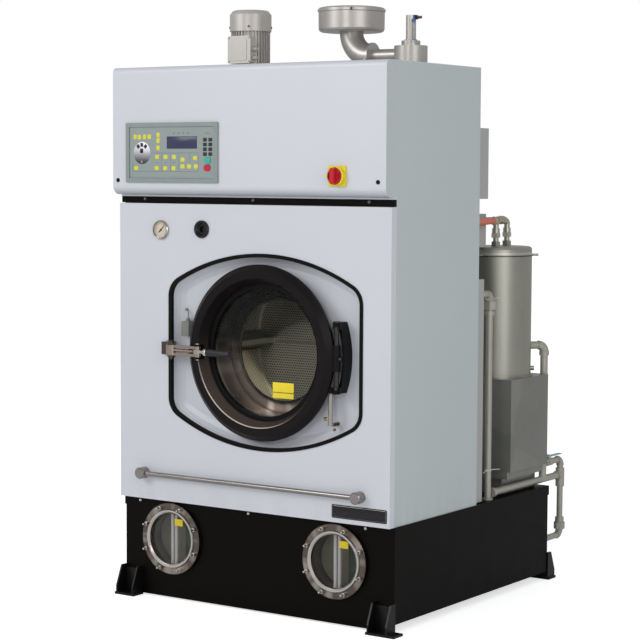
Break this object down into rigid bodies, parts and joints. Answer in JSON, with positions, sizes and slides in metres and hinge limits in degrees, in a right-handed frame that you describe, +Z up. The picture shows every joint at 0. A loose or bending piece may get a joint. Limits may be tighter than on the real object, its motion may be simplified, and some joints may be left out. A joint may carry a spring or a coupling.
{
  "type": "dry cleaning machine",
  "caption": "Front-loading dry cleaning machine with a round glass door, solvent-tank base, control hood, roof fan and vent, and a recovery tank behind the cabinet.",
  "frame": {"origin": "on the floor, at the centre of the four anchor-bolt holes", "axes": "+X to the right seen from the front, +Y to the rear, +Z up; the door faces -Y"},
  "size_m": [1.122, 1.2762, 1.969],
  "materials": {
    "base_black": "semi-gloss black paint",
    "feet_black": "semi-gloss black paint",
    "drum_steel": "satin stainless steel",
    "flange_steel": "brushed stainless steel",
    "window_glass": "clear sight glass",
    "side_grey": "pale grey powder coat",
    "roof_grey": "pale grey paint",
    "panel_white": "smooth white powder coat",
    "rubber_black": "black rubber",
    "rail_steel": "satin stainless steel",
    "panel_grey": "satin grey plastic",
    "overlay": "printed membrane",
    "green_key": "green plastic",
    "red_key": "red plastic",
    "isolator_yellow": "yellow plastic",
    "isolator_red": "red plastic",
    "gauge_metal": "bright metal bezel",
    "gauge_glass": "clear glass",
    "needle_black": "black paint",
    "sight_black": "black plastic",
    "tub_steel": "dull stainless steel",
    "cast_grey": "painted casting",
    "shaft_steel": "turned steel",
    "pulley_grey": "machined cast iron",
    "motor_grey": "grey paint",
    "ring_black": "glossy black enamel",
    "door_glass": "clear tempered glass",
    "hinge_black": "black enamel",
    "pin_steel": "bright steel",
    "latch_dark": "dark plated steel",
    "latch_steel": "plated steel",
    "latch_chrome": "chrome plate",
    "grip_black": "black phenolic",
    "switch_grey": "grey plastic",
    "lock_metal": "anodised aluminium",
    "fan_grey": "beige-grey paint",
    "vent_steel": "beige-grey paint",
    "valve_metal": "cast aluminium",
    "cabinet_grey": "grey paint",
    "tank_steel": "dull stainless steel",
    "box_steel": "dull stainless steel",
    "pipe_steel": "galvanised steel",
    "lever_teal": "teal sleeve",
    "hose_orange": "orange rubber hose"
  },
  "bodies": {
    "machine": {"base_tank": "base_black", "base_cover": "base_black", "anchor_feet": "feet_black", "window_necks": "drum_steel", "window_flanges": "flange_steel", "window_glasses": "window_glass", "side_panels": "side_grey", "roof_panel": "roof_grey", "rear_panel": "side_grey", "front_panel": "panel_white", "recess_panel": "panel_white", "recess_trim": "rubber_black", "control_hood": "panel_white", "trim_strip": "base_black", "hand_rail": "rail_steel", "control_frame": "panel_grey", "control_overlay": "overlay", "isolator_plate": "isolator_yellow", "gauge_case": "gauge_metal", "gauge_glass": "gauge_glass", "vapour_sight": "sight_black", "outer_tub": "tub_steel", "bearing_housing": "cast_grey", "drive_belt": "rubber_black", "drive_motor": "motor_grey", "hinge_bracket": "hinge_black", "hinge_pin": "pin_steel", "latch_bracket": "latch_dark", "door_switch": "switch_grey", "lock_cylinder": "lock_metal", "fan_motor": "fan_grey", "fan_cowl": "fan_grey", "fan_terminal_box": "fan_grey", "vent_filter": "vent_steel", "vent_valve": "valve_metal", "vent_cylinder": "valve_metal", "rear_boxes": "cabinet_grey", "recovery_tank": "tank_steel", "tank_lid": "tank_steel", "separator_box": "box_steel", "rear_pipework": "pipe_steel", "solvent_hoses": "hose_orange"},
    "drum_body": {"drum": "drum_steel", "drum_shaft": "shaft_steel", "drum_pulley": "pulley_grey"},
    "motor_body": {"motor_pulley": "pulley_grey"},
    "door": {"door_ring": "ring_black", "door_glass": "door_glass", "door_seal": "rubber_black"},
    "link": {"latch_link": "latch_steel"},
    "lever": {"latch_lever": "latch_chrome", "latch_grip": "grip_black"},
    "lock": {"lock_pin": "latch_chrome"},
    "fan_body": {"fan_rotor": "shaft_steel"},
    "vent_body": {"vent_plate": "shaft_steel"},
    "isolator": {"isolator_knob": "isolator_red"},
    "start": {"start_button": "green_key"},
    "stop": {"stop_button": "red_key"},
    "needle": {"gauge_needle": "needle_black"},
    "ball_valve": {"valve_lever": "lever_teal"}
  },
  "joints": [
    {"name": "drum_spin", "type": "hinge", "parent": "machine", "child": "drum_body", "pos_m": [0.054, -0.1, 0.855], "axis": [0, 1, 0], "continuous": true},
    {"name": "motor_spin", "type": "hinge", "parent": "machine", "child": "motor_body", "pos_m": [-0.12, -0.04, 0.428], "axis": [0, 1, 0], "continuous": true},
    {"name": "door_hinge", "type": "hinge", "parent": "machine", "child": "door", "pos_m": [0.348, -0.548, 0.855], "axis": [0, 0, 1], "range_deg": [0, 125]},
    {"name": "latch_link_swing", "type": "hinge", "parent": "door", "child": "link", "pos_m": [-0.169, -0.5893, 0.85], "axis": [0, 0, 1], "range_deg": [0, 45]},
    {"name": "latch_lever_swing", "type": "hinge", "parent": "door", "child": "lever", "pos_m": [-0.169, -0.5893, 0.85], "axis": [0, 0, -1], "range_deg": [0, 85]},
    {"name": "lock_pin_slide", "type": "slide", "parent": "machine", "child": "lock", "axis": [0, 0, 1], "range_m": [0, 0.014]},
    {"name": "fan_spin", "type": "hinge", "parent": "machine", "child": "fan_body", "pos_m": [-0.181, -0.286, 1.8], "axis": [0, 0, 1], "continuous": true},
    {"name": "vent_slide", "type": "slide", "parent": "machine", "child": "vent_body", "axis": [0, 0, 1], "range_m": [0, 0.012]},
    {"name": "isolator_turn", "type": "hinge", "parent": "machine", "child": "isolator", "pos_m": [0.364, -0.579, 1.422], "axis": [0, 1, 0], "range_deg": [0, 90]},
    {"name": "start_press", "type": "slide", "parent": "machine", "child": "start", "axis": [0, 1, 0], "range_m": [0, 0.0015], "stiffness_N_per_m": 1500},
    {"name": "stop_press", "type": "slide", "parent": "machine", "child": "stop", "axis": [0, 1, 0], "range_m": [0, 0.0015], "stiffness_N_per_m": 1500},
    {"name": "gauge_needle_swing", "type": "hinge", "parent": "machine", "child": "needle", "pos_m": [-0.362, -0.536, 1.241], "axis": [0, 1, 0], "range_deg": [-180, 90]},
    {"name": "ball_valve_turn", "type": "hinge", "parent": "machine", "child": "ball_valve", "pos_m": [0.515, 0.556, 0.43], "axis": [0, 0, 1], "range_deg": [0, 90]}
  ],
  "couplings": [
    {"joint": "motor_spin", "follows": "drum_spin", "ratio": 5}
  ]
}
